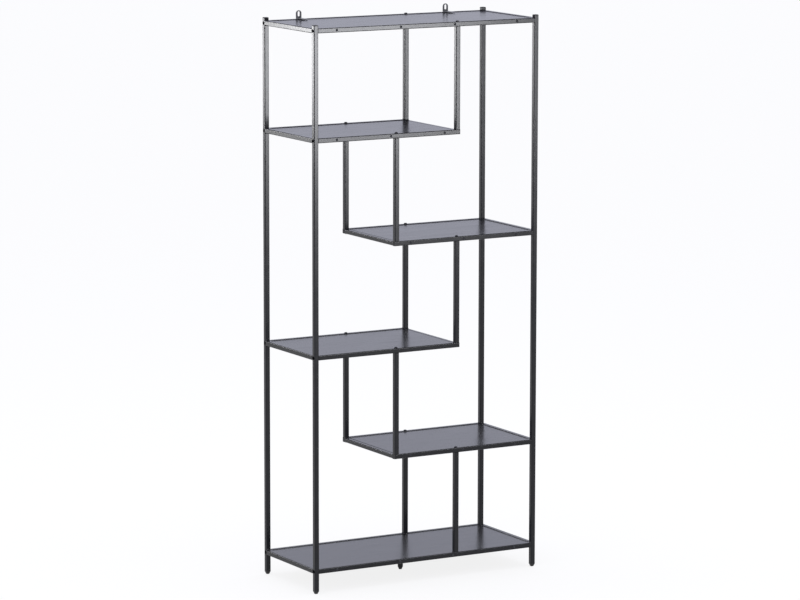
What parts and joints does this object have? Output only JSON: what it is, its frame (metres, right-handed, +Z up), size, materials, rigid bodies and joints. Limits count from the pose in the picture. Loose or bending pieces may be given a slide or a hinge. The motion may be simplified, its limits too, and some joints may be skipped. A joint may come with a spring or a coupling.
{
  "type": "zigzag bookcase",
  "caption": "Tall open zigzag bookcase: black square-tube frame, short shelves that alternate left and right on bolted risers, drop-in boards, foot glides and wall brackets.",
  "frame": {"origin": "on the floor under the middle of the case", "axes": "+Z up, +X to the right seen from the front, +Y from the front to the back"},
  "size_m": [0.84, 0.35, 1.867],
  "materials": {
    "frame_black": "satin powder coat",
    "board_black": "black satin melamine facing",
    "plastic_black": "moulded black",
    "bolt_black": "black zinc",
    "bracket_black": "satin powder coat"
  },
  "bodies": {
    "root": {"post_front_left": "frame_black", "post_back_left": "frame_black", "post_front_right": "frame_black", "post_back_right": "frame_black", "side_rail_left_1": "frame_black", "side_rail_left_2": "frame_black", "side_rail_left_4": "frame_black", "side_rail_left_6": "frame_black", "side_rail_right_1": "frame_black", "side_rail_right_3": "frame_black", "side_rail_right_5": "frame_black", "side_rail_right_6": "frame_black", "front_rail_1": "frame_black", "back_rail_1": "frame_black", "front_rail_2": "frame_black", "back_rail_2": "frame_black", "front_rail_3": "frame_black", "back_rail_3": "frame_black", "front_rail_4": "frame_black", "back_rail_4": "frame_black", "front_rail_5": "frame_black", "back_rail_5": "frame_black", "front_rail_6": "frame_black", "back_rail_6": "frame_black", "end_rail_2": "frame_black", "end_rail_3": "frame_black", "end_rail_4": "frame_black", "end_rail_5": "frame_black", "riser_1_front": "frame_black", "riser_1_back": "frame_black", "riser_2_front": "frame_black", "riser_2_back": "frame_black", "riser_3_front": "frame_black", "riser_3_back": "frame_black", "riser_4_front": "frame_black", "riser_4_back": "frame_black", "riser_5_front": "frame_black", "riser_5_back": "frame_black", "board_lugs": "frame_black", "centre_strip": "frame_black", "centre_leg": "frame_black", "shelf_board_1": "board_black", "shelf_board_2": "board_black", "shelf_board_3": "board_black", "shelf_board_4": "board_black", "shelf_board_5": "board_black", "shelf_board_6": "board_black", "post_caps": "plastic_black", "foot_glides": "plastic_black", "rail_end_plugs": "plastic_black", "riser_bolts": "bolt_black", "rail_bolts": "bolt_black", "board_screws": "bolt_black", "bracket_screws": "bolt_black", "riser_nut_plugs": "bolt_black", "rail_nut_plugs": "bolt_black", "wall_bracket_left": "bracket_black", "wall_bracket_right": "bracket_black"}
  },
  "joints": []
}
